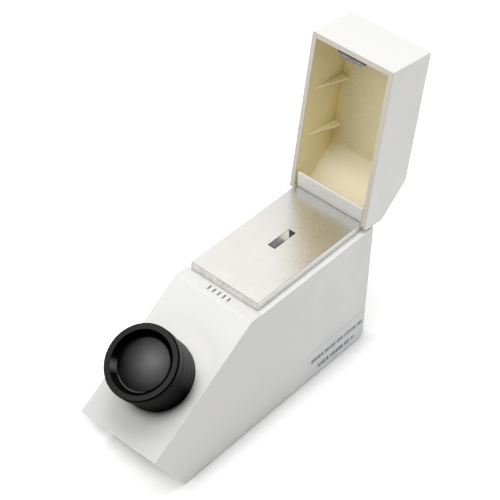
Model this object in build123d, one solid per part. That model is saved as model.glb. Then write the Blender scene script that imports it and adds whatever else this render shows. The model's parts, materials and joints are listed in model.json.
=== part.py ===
"""Bench gemstone refractometer with an open lid, as separate pieces in one shared frame.

Millimetres, +Z up, the eyepiece faces -Y, +X is the right-hand side.  The pieces are laid out with
y = 0 at the nose of the sloping front and z = 0 at the lower rim of the housing.  place() then moves
them so that the origin is the middle of the underside of the whole box, on the plane of the feet.
"""
from build123d import *
from math import atan2, cos, degrees, radians, sin
import os

# ---- housing -----------------------------------------------------------------------------------
BODY_W = 50.0          # across the housing
BODY_L = 162.0         # nose to back wall
BODY_H = 78.7          # lower rim to the flat top
NOSE_Z = 33.2          # height of the nose, where slope and undercut meet
TOE_Y = 20.8           # where the undercut meets the lower rim
BROW_Y = 67.3          # where the slope meets the flat top
WALL = 3.0
HEEL_R = 4.0           # rounded lower back edge
EDGE_R = 0.5           # softened outer edges
FOOT_GAP = 0.8         # the feet hold the rim this far above the table
SLOPE = atan2(BODY_H - NOSE_Z, BROW_Y)
ROOF_Z = BODY_H - WALL  # underside of the flat top

# ---- base --------------------------------------------------------------------------------------
BASE_HALF_W = 20.0
BASE_Y0 = 27.0
BASE_Y1 = 156.0
BASE_T = WALL
BASE_GAP = 0.2
BOSS_X = 16.0
BOSS_YS = (47.0, 133.0)
BOSS_R = 3.1
BOSS_TOP_Z = 13.0
BOSS_PILOT_R = 1.25
BOSS_WEB_T = 2.4
BASE_SCREW_R = 1.2
BASE_SINK_R = 2.6
BASE_SCREW_SINK = 1.6  # depth of the counterbore for a screw head
BASE_BREAK = 0.3       # chamfer round the underside
FOOT_R = 3.5
FOOT_YS = (33.0, 148.0)
FOOT_POCKET = 1.0
FOOT_ROUND = 0.4

# ---- stage plate, prism and its cradle ---------------------------------------------------------
STAGE_W = 43.7
STAGE_Y0 = 75.6
STAGE_Y1 = 154.9
STAGE_T = 5.0
STAGE_TOP = BODY_H + STAGE_T
STAGE_BREAK = 0.15     # broken upper edges
WINDOW_Y = 118.65
WINDOW_L = 16.3
WINDOW_W = 4.7
PRISM_GAP = 0.05
PRISM_SINK = 0.3       # the prism face lies this far below the stage
PRISM_R = 10.0
PRISM_W = 10.0
CRADLE_W = 16.0
CRADLE_L = 26.0
CRADLE_FLOOR_T = 2.0
CRADLE_SCREW_R = 1.0
CRADLE_SCREW_X = 6.5
CRADLE_SCREW_REACH = 10.5   # from the window's middle, along the stage
WELL_W = 18.0
WELL_L = 30.0
STAGE_SCREW_X = 15.0
STAGE_SCREW_YS = (84.0, 146.0)
STAGE_SCREW_R = 1.5
SCREW_REACH = 3.0      # how far screws from below run into the stage
SCREW_GAP = 0.2        # radial play of a screw in a clearance hole

# ---- marks and lid keeper on the brow ----------------------------------------------------------
MARK_COUNT = 5
MARK_PITCH = 3.2
MARK_W = 1.05
MARK_Y0 = 70.4
MARK_L = 3.1
KEEPER_W = 18.0
KEEPER_L = 5.0
KEEPER_T = 1.5
KEEPER_Y0 = MARK_Y0 - 0.8

# ---- lid, in its closed place ------------------------------------------------------------------
LID_L = 94.1
LID_H = 30.8
LID_WALL = 2.7
LID_RIM_GAP = 0.3      # between the closed rim and the flat top
LID_RIM_Z = BODY_H + LID_RIM_GAP
LID_BACK_H = 14.9      # height of the back wall below the bevel
LID_BEVEL_L = 18.1     # length of the bevel between back wall and roof
LID_CORNER_R = 2.8     # relieved lower back corner that swings past the housing
LID_ROUND = 0.4        # softened outer edges
LID_OPEN = 97.1        # degrees from closed to the open stop
PIVOT_Y = BODY_L - 3.35
PIVOT_Z = BODY_H + 4.9
PIN_R = 1.0
PIN_FIT = 0.05
PIN_DEPTH = 1.5        # how far each end of the pin sits in a lid wall
NOTCH_H = 7.4          # notch in the lid's back wall, round the hinge block
NOTCH_GAP = 0.4        # between the notch and each end of the block
RIB_T = 1.6
RIB_W = 5.1            # at the roof
RIB_FOOT = 6.0         # the ribs taper out this far above the rim
RIB_PLACES = (33.1, 61.1)   # from the lid's back end
SINK_IN = 0.1          # overlap that joins a rib or a seat to its wall
MAGNET_W = 15.0
MAGNET_T = 2.0
MAGNET_H = 6.0
MAGNET_RIM = 0.3       # the magnet lies this far inside the rim
MAGNET_BREAK = 1.2
HOLDER_W = 17.0
HOLDER_T = 1.0
HOLDER_RIM = 0.05

# ---- hinge block -------------------------------------------------------------------------------
BLOCK_W = 43.0
BLOCK_Y0 = 155.5
BLOCK_Y1 = 158.95
BLOCK_TOP_Z = BODY_H + 13.9
BLOCK_LEAN = 2.2       # the rear face leans forwards by this much above the knuckle
BLOCK_LEAN_H = 2.65
BLOCK_FRONT_R = 0.8
BLOCK_END_R = 0.6
BLOCK_FOOT = 0.8       # the foot reaches this far behind the pin
KNUCKLE_R = 2.4
BLOCK_SCREW_X = 13.0
BLOCK_SCREW_Y = 157.1
BLOCK_SCREW_R = 0.93
BLOCK_SCREW_TOP = 3.4  # tip of the screws above the flat top, below the pin

# ---- eyepiece: heights are measured outwards from the slope, along its axis ----------------------
EYE_S = 36.24          # from the nose, up the slope, to the eyepiece axis
SLEEVE_R = 15.0
SLEEVE_BORE_R = 13.6
SLEEVE_TOP = 14.5
FLANGE_R = 18.5
FLANGE_T = 2.4
FLANGE_ROUND = 0.4
TAIL_R = 15.4
TAIL_END = -8.0
TAIL_GAP = 0.1         # between the tail and its hole in the slope
NUT_R = 19.5
NUT_T = 4.0
NUT_SLOTS = 4
NUT_SLOT_W = 3.0
NUT_SLOT_D = 4.0
SLIP_FIT = 0.02        # radial clearance of pieces fixed to each other
RUN_FIT = 0.06         # radial running clearance
FOCUS_R = 18.9
FOCUS_H0 = 2.7
FOCUS_H1 = 16.3
FOCUS_ROUND = 0.35
CARRIER_WALL = 1.5
CARRIER_H0 = -6.0
CARRIER_H1 = 17.0
CARRIER_R = SLEEVE_BORE_R - RUN_FIT
LENS_R = CARRIER_R - CARRIER_WALL - SLIP_FIT
LENS_SEAT_W = 1.2      # width of every seat and retainer that holds a lens
LENS_SEAT_H0 = 4.0
LENS_SEAT_H1 = 6.0
RING_R = 19.44
RING_H0 = 16.6
RING_H1 = 23.2
RING_MOUTH_R = 16.45
RING_SEAT_R = 13.6
RING_LIP_R = 12.3
RING_FACE_H = 19.25    # outer face of the polariser glass
RING_LIP_H = 17.2
RING_ROUND = 0.45
RING_CONE_R = 14.5     # foot of the coned mouth
SPIGOT_R = 14.7
SPIGOT_H0 = 15.0
GLASS_T = 1.5
GLASS_BULGE = 1.5      # the outer face of the glass is domed
GLASS_SINK = 0.03
RETAINER_R = 14.2
RETAINER_LAP = 0.15    # the retainer covers this much of the glass
RETAINER_T = 0.25

# ---- optical path ------------------------------------------------------------------------------
MIRROR_Z = 14.0
PATH_TILT = 45.0       # the path from prism to mirror, above the horizontal
TUBE_R = 11.0
TUBE_BORE_R = 9.5
TUBE_T0 = 20.0         # ends of the tube, measured from the mirror along the path
TUBE_T1 = 62.0
TUBE_STOP_T = 2.0
RETICLE_T0 = 29.0
RETICLE_T = 1.5
OBJECTIVE_T0 = 52.0
SADDLE_T0 = 38.0
SADDLE_T1 = 44.0
SADDLE_WALL = 3.0
SADDLE_LEG_W = 10.0
SADDLE_LEG_TOP = 36.0
SADDLE_Y0 = 83.0
SADDLE_Y1 = 97.0
SADDLE_FOOT_W = 26.0
SADDLE_FOOT_T = 2.5
SADDLE_SCREW_R = 1.08
SADDLE_SCREWS = ((-10.0, 87.0), (10.0, 87.0))
MIRROR_L = 28.0
MIRROR_W = 22.0
MIRROR_T = 3.0
LAMP_R = 9.0
LAMP_BORE_R = 7.8
LAMP_T0 = 20.0         # ends of the lamp housing, measured from the prism along the light path
LAMP_T1 = 41.0
LAMP_END_T = 2.0
LAMP_BACKSET = 1.7     # the light path meets the middle plane this far below the flat top
LAMP_ARM_L = 22.0
LAMP_ARM_W = 10.0
LAMP_ARM_Z0 = 46.0
LAMP_ARM_Z1 = 50.0
LAMP_PAD_W = 16.0
LAMP_PAD_Z0 = 40.0
LAMP_PAD_Z1 = 56.0
FILTER_T = 2.0
BOARD_T = 1.6
LED_R = 2.5
LED_RIM_R = 2.9
LED_L = 6.0

# ---- battery -----------------------------------------------------------------------------------
CELL_R = 5.25
CELL_L = 44.5
CELL_X = 5.4
CELL_Y0 = 105.0
CELL_Z = 8.6
CELL_ROUND = 0.5
CELL_CAP_R = 1.9
CELL_CAP_T = 1.2
CONTACT_T = 0.5
CONTACT_W = 19.0
CONTACT_Z0 = 4.0
CONTACT_Z1 = 13.0
CONTACT_GAP = 0.4
BAY_HALF_W = 12.0
BAY_Y0 = 99.0
BAY_Y1 = 153.0
TRAY_TOP_Z = 15.4
TRAY_WALL = 1.2
DOOR_T = 2.0
DOOR_SINK = 0.4
DOOR_GAP = 0.15
DOOR_LEDGE = 1.1
DOOR_SCREW_Y = BAY_Y0 + 2.2
DOOR_SCREW_R = 0.95
DOOR_SCREW_SINK = 1.4

# ---- power switch on the back wall ---------------------------------------------------------------
SWITCH_Z = 30.0
SWITCH_W = 10.5
SWITCH_H = 15.0
SWITCH_FRAME = 2.0
ROCKER_PIVOT_Y = BODY_L - 0.4
ROCKER_TILT = 8.0
ROCKER_HALF_H = 5.5
ROCKER_W = 6.6
ROCKER_PIN_R = 1.0
ROCKER_PIN_L = 0.5     # length of each cross pin
SWITCH_DEPTH = 12.0
SWITCH_WELL = 6.0
SWITCH_ROUND = 0.6
SWITCH_LIP = 1.1       # the frame overlaps the body of the switch by this much

# ---- rating label on the right-hand side ---------------------------------------------------------
LABEL_Y0 = 115.2
LABEL_Y1 = 161.2
LABEL_Z0 = 1.6
LABEL_Z1 = 20.0
LABEL_T = 0.15
LABEL_R = 1.0
LABEL_HEEL_R = 2.5     # larger corner that follows the rounded heel

MIN = (Align.CENTER, Align.CENTER, Align.MIN)
PIVOT = Axis((0, PIVOT_Y, PIVOT_Z), (1, 0, 0))


def span(x0, x1, y0, y1, z0, z1):
    """A block between two corners."""
    middle = Pos((x0 + x1) / 2, (y0 + y1) / 2, (z0 + z1) / 2)
    return middle * Box(x1 - x0, y1 - y0, z1 - z0)


def wide(half_w, y0, y1, z0, z1):
    """A block centred on the middle plane."""
    return span(-half_w, half_w, y0, y1, z0, z1)


def profile(points):
    """A flat outline from (y, z) corners, in the middle plane."""
    return Plane.YZ * Polygon(*points, align=None)


def across(outline, half_w):
    """An outline drawn in the middle plane, stretched equally to both sides."""
    return extrude(outline, amount=half_w, both=True)


def rod(plane, radius, h0, h1):
    """A round bar along a plane's normal, from height h0 to height h1."""
    return plane * Pos(0, 0, h0) * Cylinder(radius, h1 - h0, align=MIN)


def ring(plane, outer, inner, h0, h1):
    """A round tube along a plane's normal."""
    return rod(plane, outer, h0, h1) - rod(plane, inner, h0 - 1, h1 + 1)


def cross_rod(radius, half_w, y, z):
    """A round bar across the object."""
    return Pos(0, y, z) * Rot(0, 90, 0) * Cylinder(radius, 2 * half_w)


def upright(x, y):
    """A vertical axis, with heights measured from the lower rim of the housing."""
    return Plane(origin=(x, y, 0), x_dir=(1, 0, 0), z_dir=(0, 0, 1))


def mirrored(points_x, points_y):
    """Four places, left and right at each y."""
    return [(side * points_x, y) for y in points_y for side in (-1, 1)]


def screw(x, y, z_head, z_tip, shank_r):
    """A pan-head screw that points up, with a cross recess in its head."""
    axis = upright(x, y)
    head_r = 1.75 * shank_r
    head_t = 1.1 * shank_r
    body = rod(axis, head_r, z_head - head_t, z_head) + rod(axis, shank_r, z_head, z_tip)
    recess = Pos(x, y, z_head - head_t) * Box(1.5 * head_r, 0.35 * head_r, head_t)
    recess += Pos(x, y, z_head - head_t) * Box(0.35 * head_r, 1.5 * head_r, head_t)
    return body - recess


EYE_PLANE = Plane(
    origin=(0, EYE_S * cos(SLOPE), NOSE_Z + EYE_S * sin(SLOPE)),
    x_dir=(1, 0, 0),
    z_dir=(0, -sin(SLOPE), cos(SLOPE)),
)
MIRROR_REACH = (EYE_PLANE.origin.Z - MIRROR_Z) / cos(SLOPE)
MIRROR_Y = EYE_PLANE.origin.Y + MIRROR_REACH * sin(SLOPE)
PATH_DIR = (0, cos(radians(PATH_TILT)), sin(radians(PATH_TILT)))
PATH_PLANE = Plane(origin=(0, MIRROR_Y, MIRROR_Z), x_dir=(1, 0, 0), z_dir=PATH_DIR)
LAMP_DIR = (0, cos(radians(PATH_TILT)), -sin(radians(PATH_TILT)))
LAMP_PLANE = Plane(origin=(0, WINDOW_Y, BODY_H - LAMP_BACKSET), x_dir=(1, 0, 0), z_dir=LAMP_DIR)
MIRROR_TILT = (90 - PATH_TILT - degrees(SLOPE)) / 2
MIRROR_PLANE = Plane(
    origin=(0, MIRROR_Y, MIRROR_Z),
    x_dir=(1, 0, 0),
    z_dir=(0, sin(radians(MIRROR_TILT)), cos(radians(MIRROR_TILT))),
)


# ---- housing and base ----------------------------------------------------------------------------
def housing_outline():
    return profile([(0, NOSE_Z), (TOE_Y, 0), (BODY_L, 0), (BODY_L, BODY_H), (BROW_Y, BODY_H)])


def housing_shell():
    outer = across(housing_outline(), BODY_W / 2)
    heel = outer.edges().filter_by(Axis.X).sort_by(lambda e: e.center().Y - e.center().Z)[-1]
    outer = fillet(heel, HEEL_R)
    outer = fillet(outer.edges(), EDGE_R)
    void = across(offset(housing_outline(), -WALL, kind=Kind.INTERSECTION), BODY_W / 2 - WALL)
    return outer - void - wide(BASE_HALF_W, BASE_Y0, BASE_Y1, -1, WALL + 1)


def housing_bosses():
    """Screw bosses that stand on the base plate, each tied to the nearer side wall."""
    bosses = []
    for x, y in mirrored(BOSS_X, BOSS_YS):
        side = 1 if x > 0 else -1
        edge = side * (BODY_W / 2 - WALL + SINK_IN)
        post = rod(upright(x, y), BOSS_R, BASE_T, BOSS_TOP_Z)
        half_t = BOSS_WEB_T / 2
        web = span(min(x, edge), max(x, edge), y - half_t, y + half_t, BASE_T, BOSS_TOP_Z)
        bosses.append(post + web - rod(upright(x, y), BOSS_PILOT_R, BASE_T - 1, BOSS_TOP_Z - 2))
    return bosses


def housing():
    shell = housing_shell()
    for boss in housing_bosses():
        shell += boss
    shell -= wide(WELL_W / 2, WINDOW_Y - WELL_L / 2, WINDOW_Y + WELL_L / 2, ROOF_Z - 1, BODY_H + 1)
    shell -= rod(EYE_PLANE, TAIL_R + TAIL_GAP, -WALL - 1, 1)
    for index in range(MARK_COUNT):
        x = (index - (MARK_COUNT - 1) / 2) * MARK_PITCH
        shell -= span(x - MARK_W / 2, x + MARK_W / 2, MARK_Y0, MARK_Y0 + MARK_L, ROOF_Z - 1, BODY_H + 1)
    for x, y in mirrored(STAGE_SCREW_X, STAGE_SCREW_YS):
        shell -= rod(upright(x, y), STAGE_SCREW_R + SCREW_GAP, ROOF_Z - 1, BODY_H + 1)
    for x in (-BLOCK_SCREW_X, BLOCK_SCREW_X):
        shell -= rod(upright(x, BLOCK_SCREW_Y), BLOCK_SCREW_R + SCREW_GAP, ROOF_Z - 1, BODY_H + 1)
    half_w = SWITCH_W / 2 - 1
    half_h = SWITCH_H / 2 - 1
    return shell - wide(half_w, BODY_L - WALL - 1, BODY_L + 1, SWITCH_Z - half_h, SWITCH_Z + half_h)


def base_plate():
    plate = wide(BASE_HALF_W - BASE_GAP, BASE_Y0 + BASE_GAP, BASE_Y1 - BASE_GAP, 0, BASE_T)
    plate = chamfer(plate.faces().sort_by(Axis.Z)[0].edges(), BASE_BREAK)
    plate -= wide(BAY_HALF_W, BAY_Y0, BAY_Y1, -1, DOOR_SINK + DOOR_T)
    plate -= wide(BAY_HALF_W - DOOR_LEDGE, CELL_Y0 - 1.5, BAY_Y1 - 1.5, 0, BASE_T + 1)
    plate -= rod(upright(0, DOOR_SCREW_Y), DOOR_SCREW_R + SLIP_FIT, 0, BASE_T + 1)
    for x, y in mirrored(BOSS_X, BOSS_YS):
        plate -= rod(upright(x, y), BASE_SCREW_R + SCREW_GAP, -1, BASE_T + 1)
        plate -= rod(upright(x, y), BASE_SINK_R, -1, BASE_SCREW_SINK)
    for x, y in mirrored(BOSS_X, FOOT_YS):
        plate -= rod(upright(x, y), FOOT_R, -1, FOOT_POCKET)
    return plate


def base_screws():
    places = mirrored(BOSS_X, BOSS_YS)
    return [screw(x, y, BASE_SCREW_SINK, BOSS_TOP_Z - 3, BASE_SCREW_R) for x, y in places]


def rubber_feet():
    feet = []
    for x, y in mirrored(BOSS_X, FOOT_YS):
        foot = rod(upright(x, y), FOOT_R, -FOOT_GAP, FOOT_POCKET)
        feet.append(fillet(foot.edges().sort_by(Axis.Z)[0], FOOT_ROUND))
    return feet


# ---- stage, prism and lid keeper -----------------------------------------------------------------
def stage_plate():
    plate = wide(STAGE_W / 2, STAGE_Y0, STAGE_Y1, BODY_H, STAGE_TOP)
    plate = chamfer(plate.faces().sort_by(Axis.Z)[-1].edges(), STAGE_BREAK)
    half_l = WINDOW_L / 2
    plate -= wide(WINDOW_W / 2, WINDOW_Y - half_l, WINDOW_Y + half_l, BODY_H - 1, STAGE_TOP + 1)
    for x, y in mirrored(STAGE_SCREW_X, STAGE_SCREW_YS):
        plate -= rod(upright(x, y), STAGE_SCREW_R + SLIP_FIT, BODY_H - 1, BODY_H + SCREW_REACH + 0.5)
    for x, y in cradle_screw_places():
        plate -= rod(upright(x, y), CRADLE_SCREW_R + SLIP_FIT, BODY_H - 1, BODY_H + SCREW_REACH + 0.2)
    return plate


def stage_screws():
    places = mirrored(STAGE_SCREW_X, STAGE_SCREW_YS)
    return [screw(x, y, ROOF_Z, BODY_H + SCREW_REACH, STAGE_SCREW_R) for x, y in places]


def prism():
    """Half-cylinder of dense glass with a tongue that fills the stage window."""
    bowl = cross_rod(PRISM_R, PRISM_W / 2, WINDOW_Y, BODY_H - PRISM_GAP)
    bowl &= wide(PRISM_W, WINDOW_Y - 2 * PRISM_R, WINDOW_Y + 2 * PRISM_R, 0, BODY_H - PRISM_GAP)
    half_l = WINDOW_L / 2 - PRISM_GAP
    top = STAGE_TOP - PRISM_SINK
    tongue = wide(WINDOW_W / 2 - PRISM_GAP, WINDOW_Y - half_l, WINDOW_Y + half_l, BODY_H - 1, top)
    return bowl + tongue


def cradle_screw_places():
    return mirrored(CRADLE_SCREW_X, (WINDOW_Y - CRADLE_SCREW_REACH, WINDOW_Y + CRADLE_SCREW_REACH))


def prism_cradle():
    """Channel that carries the prism under the stage and stays open to the light at both ends."""
    floor_z = BODY_H - 2 * PRISM_GAP - PRISM_R
    y0 = WINDOW_Y - CRADLE_L / 2
    y1 = WINDOW_Y + CRADLE_L / 2
    block = wide(CRADLE_W / 2, y0, y1, floor_z - CRADLE_FLOOR_T, BODY_H)
    block -= wide(PRISM_W / 2 + PRISM_GAP, y0 - 1, y1 + 1, floor_z, BODY_H + 1)
    for x, y in cradle_screw_places():
        block -= rod(upright(x, y), CRADLE_SCREW_R + SCREW_GAP / 2, 0, BODY_H + 1)
    return block


def cradle_screws():
    z_head = BODY_H - 2 * PRISM_GAP - PRISM_R - CRADLE_FLOOR_T
    places = cradle_screw_places()
    return [screw(x, y, z_head, BODY_H + SCREW_REACH, CRADLE_SCREW_R) for x, y in places]


def lid_keeper():
    return wide(KEEPER_W / 2, KEEPER_Y0, KEEPER_Y0 + KEEPER_L, ROOF_Z - KEEPER_T, ROOF_Z)


# ---- hinge block and lid -------------------------------------------------------------------------
def hinge_block():
    """Bar across the back of the flat top, with a round knuckle for the hinge pin."""
    bar = across(profile([
        (BLOCK_Y0, BODY_H),
        (BLOCK_Y0, BLOCK_TOP_Z),
        (BLOCK_Y1 - BLOCK_LEAN, BLOCK_TOP_Z),
        (BLOCK_Y1, BLOCK_TOP_Z - BLOCK_LEAN_H),
        (BLOCK_Y1, BODY_H),
    ]), BLOCK_W / 2)
    bar = fillet(bar.edges().group_by(Axis.Z)[-1].sort_by(Axis.Y)[0], BLOCK_FRONT_R)
    bar = fillet(bar.edges().filter_by(Axis.Y).group_by(Axis.Z)[-1], BLOCK_END_R)
    knuckle = cross_rod(KNUCKLE_R, BLOCK_W / 2, PIVOT_Y, PIVOT_Z)
    foot = wide(BLOCK_W / 2, BLOCK_Y1 - 1, PIVOT_Y + BLOCK_FOOT, BODY_H, PIVOT_Z)
    block = bar + knuckle + foot - cross_rod(PIN_R + PIN_FIT, BLOCK_W, PIVOT_Y, PIVOT_Z)
    for x in (-BLOCK_SCREW_X, BLOCK_SCREW_X):
        hole_r = BLOCK_SCREW_R + SLIP_FIT
        block -= rod(upright(x, BLOCK_SCREW_Y), hole_r, BODY_H - 1, BODY_H + BLOCK_SCREW_TOP + 0.2)
    return block


def hinge_block_screws():
    tip = BODY_H + BLOCK_SCREW_TOP
    sides = (-BLOCK_SCREW_X, BLOCK_SCREW_X)
    return [screw(x, BLOCK_SCREW_Y, ROOF_Z, tip, BLOCK_SCREW_R) for x in sides]


def lid_outline():
    back = BODY_L
    return profile([
        (back, LID_RIM_Z),
        (back, LID_RIM_Z + LID_BACK_H),
        (back - LID_BEVEL_L, LID_RIM_Z + LID_H),
        (back - LID_L, LID_RIM_Z + LID_H),
        (back - LID_L, LID_RIM_Z),
    ])


def lid_ribs():
    """Thin webs inside both side walls, widest at the roof."""
    half_w = BODY_W / 2 - LID_WALL
    roof = LID_RIM_Z + LID_H - LID_WALL + SINK_IN
    ribs = []
    for place in RIB_PLACES:
        y = BODY_L - place
        plane = Plane(origin=(0, y + RIB_T / 2, 0), x_dir=(1, 0, 0), z_dir=(0, -1, 0))
        for side in (-1, 1):
            wall = side * (half_w + SINK_IN)
            free = side * (half_w - RIB_W)
            web = Polygon((wall, LID_RIM_Z + RIB_FOOT), (wall, roof), (free, roof), align=None)
            ribs.append(extrude(plane * web, amount=RIB_T))
    return ribs


def lid_shell():
    outer = across(lid_outline(), BODY_W / 2)
    heel = outer.edges().filter_by(Axis.X).sort_by(lambda e: e.center().Y - e.center().Z)[-1]
    outer = fillet(heel, LID_CORNER_R)
    outer = fillet(outer.edges().filter_by(lambda e: e.center().Z > LID_RIM_Z + 0.5), LID_ROUND)
    half_w = BODY_W / 2 - LID_WALL
    void = across(offset(lid_outline(), -LID_WALL, kind=Kind.INTERSECTION), half_w)
    y0 = BODY_L - LID_L + LID_WALL
    void += wide(half_w, y0, BODY_L - LID_WALL, LID_RIM_Z - 1, LID_RIM_Z + LID_WALL + 1)
    shell = outer - void
    for rib in lid_ribs():
        shell += rib
    notch_top = LID_RIM_Z + NOTCH_H
    shell -= wide(BLOCK_W / 2 + NOTCH_GAP, BODY_L - LID_WALL - 0.5, BODY_L + 1, LID_RIM_Z - 1, notch_top)
    return shell - cross_rod(PIN_R, half_w + PIN_DEPTH, PIVOT_Y, PIVOT_Z)


def hinge_pin():
    return cross_rod(PIN_R, BODY_W / 2 - LID_WALL + PIN_DEPTH, PIVOT_Y, PIVOT_Z)


def magnet_holder():
    y0 = BODY_L - LID_L + LID_WALL
    return wide(HOLDER_W / 2, y0, y0 + HOLDER_T, LID_RIM_Z + HOLDER_RIM, LID_RIM_Z + MAGNET_H)


def lid_magnet():
    y0 = BODY_L - LID_L + LID_WALL + HOLDER_T
    bar = wide(MAGNET_W / 2, y0, y0 + MAGNET_T, LID_RIM_Z + MAGNET_RIM, LID_RIM_Z + MAGNET_H)
    return chamfer(bar.edges().filter_by(Axis.Z).group_by(Axis.Y)[-1], MAGNET_BREAK)


def opened(piece):
    """Swing a lid piece from its closed place to the open stop."""
    return piece.rotate(PIVOT, -LID_OPEN)


# ---- eyepiece --------------------------------------------------------------------------------------
def eyepiece_mount():
    flange = rod(EYE_PLANE, FLANGE_R, 0, FLANGE_T)
    flange = fillet(flange.edges().sort_by(Axis.Z)[-1], FLANGE_ROUND)
    mount = flange + rod(EYE_PLANE, SLEEVE_R, 0, SLEEVE_TOP) + rod(EYE_PLANE, TAIL_R, TAIL_END, 0)
    return mount - rod(EYE_PLANE, SLEEVE_BORE_R, TAIL_END - 1, SLEEVE_TOP + 1)


def eyepiece_lock_nut():
    nut = ring(EYE_PLANE, NUT_R, TAIL_R + SLIP_FIT, -WALL - NUT_T, -WALL)
    for index in range(NUT_SLOTS):
        turn = EYE_PLANE * Rot(0, 0, 360 / NUT_SLOTS * (index + 0.5))
        nut -= turn * Pos(NUT_R, 0, -WALL - NUT_T) * Box(NUT_SLOT_D, NUT_SLOT_W, NUT_SLOT_W)
    return nut


def focus_ring():
    sleeve = rod(EYE_PLANE, FOCUS_R, FOCUS_H0, FOCUS_H1)
    sleeve = fillet(sleeve.edges(), FOCUS_ROUND)
    return sleeve - rod(EYE_PLANE, SLEEVE_R + RUN_FIT, 0, FOCUS_H1 + 1)


def lens_carrier():
    bore_r = CARRIER_R - CARRIER_WALL
    tube = ring(EYE_PLANE, CARRIER_R, bore_r, CARRIER_H0, CARRIER_H1)
    seat = ring(EYE_PLANE, bore_r + SINK_IN, bore_r - LENS_SEAT_W, LENS_SEAT_H0, LENS_SEAT_H1)
    return tube + seat


def lens(plane, radius, h_mid, edge_t, bulge):
    """A lens with two equally curved faces."""
    curve_r = (radius ** 2 + bulge ** 2) / (2 * bulge)
    blank = rod(plane, radius, h_mid - edge_t, h_mid + edge_t)
    for side in (-1, 1):
        middle = h_mid + side * (edge_t / 2 + bulge - curve_r)
        blank &= plane * Pos(0, 0, middle) * Sphere(curve_r)
    return blank


def eye_lens():
    return lens(EYE_PLANE, LENS_R, 7.6, 2.4, 1.4)


def field_lens():
    return lens(EYE_PLANE, LENS_R, 0.0, 2.0, 1.2)


def lens_spacer():
    return ring(EYE_PLANE, LENS_R, LENS_R - LENS_SEAT_W, 1.3, LENS_SEAT_H0)


def lens_retainer():
    return ring(EYE_PLANE, LENS_R, LENS_R - LENS_SEAT_W, 9.1, 10.7)


def polariser_ring():
    """Front ring with a coned mouth; its spigot runs on the lens carrier."""
    body = rod(EYE_PLANE, RING_R, RING_H0, RING_H1)
    body = fillet(body.edges(), RING_ROUND)
    spigot = rod(EYE_PLANE, SPIGOT_R, SPIGOT_H0, RING_H0 + 1)
    mouth_h = RING_H1 - RING_FACE_H
    mouth = EYE_PLANE * Pos(0, 0, RING_FACE_H) * Cone(RING_CONE_R, RING_MOUTH_R, mouth_h, align=MIN)
    body = body + spigot - mouth - rod(EYE_PLANE, RING_MOUTH_R, RING_H1, RING_H1 + 1)
    body -= rod(EYE_PLANE, RING_SEAT_R, RING_LIP_H + 0.5, RING_H1)
    body -= rod(EYE_PLANE, RING_LIP_R, SPIGOT_H0 - 1, RING_H1)
    return body - rod(EYE_PLANE, SLEEVE_BORE_R, SPIGOT_H0 - 1, RING_LIP_H)


def polariser_glass():
    """Flat behind, gently domed in front."""
    radius = RING_SEAT_R - SLIP_FIT
    curve_r = (radius ** 2 + GLASS_BULGE ** 2) / (2 * GLASS_BULGE)
    top = RING_FACE_H - GLASS_SINK + GLASS_BULGE
    blank = rod(EYE_PLANE, radius, RING_FACE_H - GLASS_T, top)
    return blank & EYE_PLANE * Pos(0, 0, top - curve_r) * Sphere(curve_r)


def polariser_retainer():
    return ring(EYE_PLANE, RETAINER_R, RING_SEAT_R - RETAINER_LAP, RING_FACE_H, RING_FACE_H + RETAINER_T)


# ---- optics inside the housing ---------------------------------------------------------------------
def optics_tube():
    tube = ring(PATH_PLANE, TUBE_R, TUBE_BORE_R, TUBE_T0, TUBE_T1)
    for seat_t in (RETICLE_T0 - TUBE_STOP_T, OBJECTIVE_T0 - TUBE_STOP_T):
        inner_r = TUBE_BORE_R - LENS_SEAT_W
        tube += ring(PATH_PLANE, TUBE_BORE_R + SINK_IN, inner_r, seat_t, seat_t + TUBE_STOP_T)
    return tube


def tube_ring(t0, t1):
    """A thin ring that fits the bore of the optics tube."""
    return ring(PATH_PLANE, TUBE_BORE_R - SLIP_FIT, TUBE_BORE_R - LENS_SEAT_W, t0, t1)


def scale_reticle():
    return rod(PATH_PLANE, TUBE_BORE_R - SLIP_FIT, RETICLE_T0, RETICLE_T0 + RETICLE_T)


def reticle_retainer():
    return tube_ring(RETICLE_T0 + RETICLE_T, RETICLE_T0 + 2 * RETICLE_T)


def objective_lens():
    return lens(PATH_PLANE, TUBE_BORE_R - SLIP_FIT, OBJECTIVE_T0 + 1.4, 2.0, 1.6)


def objective_retainer():
    return tube_ring(OBJECTIVE_T0 + 2.9, OBJECTIVE_T0 + 4.5)


def tube_saddle():
    """Clamp round the optics tube on a leg that stands on the base plate."""
    clamp = rod(PATH_PLANE, TUBE_R + SADDLE_WALL, SADDLE_T0, SADDLE_T1)
    leg = wide(SADDLE_LEG_W / 2, SADDLE_Y1 - SADDLE_T1 + SADDLE_T0, SADDLE_Y1, BASE_T, SADDLE_LEG_TOP)
    foot = wide(SADDLE_FOOT_W / 2, SADDLE_Y0, SADDLE_Y1, BASE_T, BASE_T + SADDLE_FOOT_T)
    saddle = clamp + leg + foot - rod(PATH_PLANE, TUBE_R + SLIP_FIT, 0, TUBE_T1 + TUBE_T0)
    for x, y in SADDLE_SCREWS:
        saddle -= rod(upright(x, y), SADDLE_SCREW_R + SLIP_FIT, 0, BODY_H / 8)
    return saddle


def saddle_screws():
    seat_z = BASE_T + SADDLE_FOOT_T
    screws = []
    for x, y in SADDLE_SCREWS:
        axis = upright(x, y)
        head = rod(axis, 2.0, seat_z, seat_z + 1.5)
        slot = Pos(x, y, seat_z + 1.5) * Box(3.2, 0.7, 1.2)
        screws.append(head + rod(axis, SADDLE_SCREW_R, BASE_T, seat_z) - slot)
    return screws


def fold_mirror():
    return MIRROR_PLANE * Pos(0, 0, -MIRROR_T) * Box(MIRROR_W, MIRROR_L, MIRROR_T, align=MIN)


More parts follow.
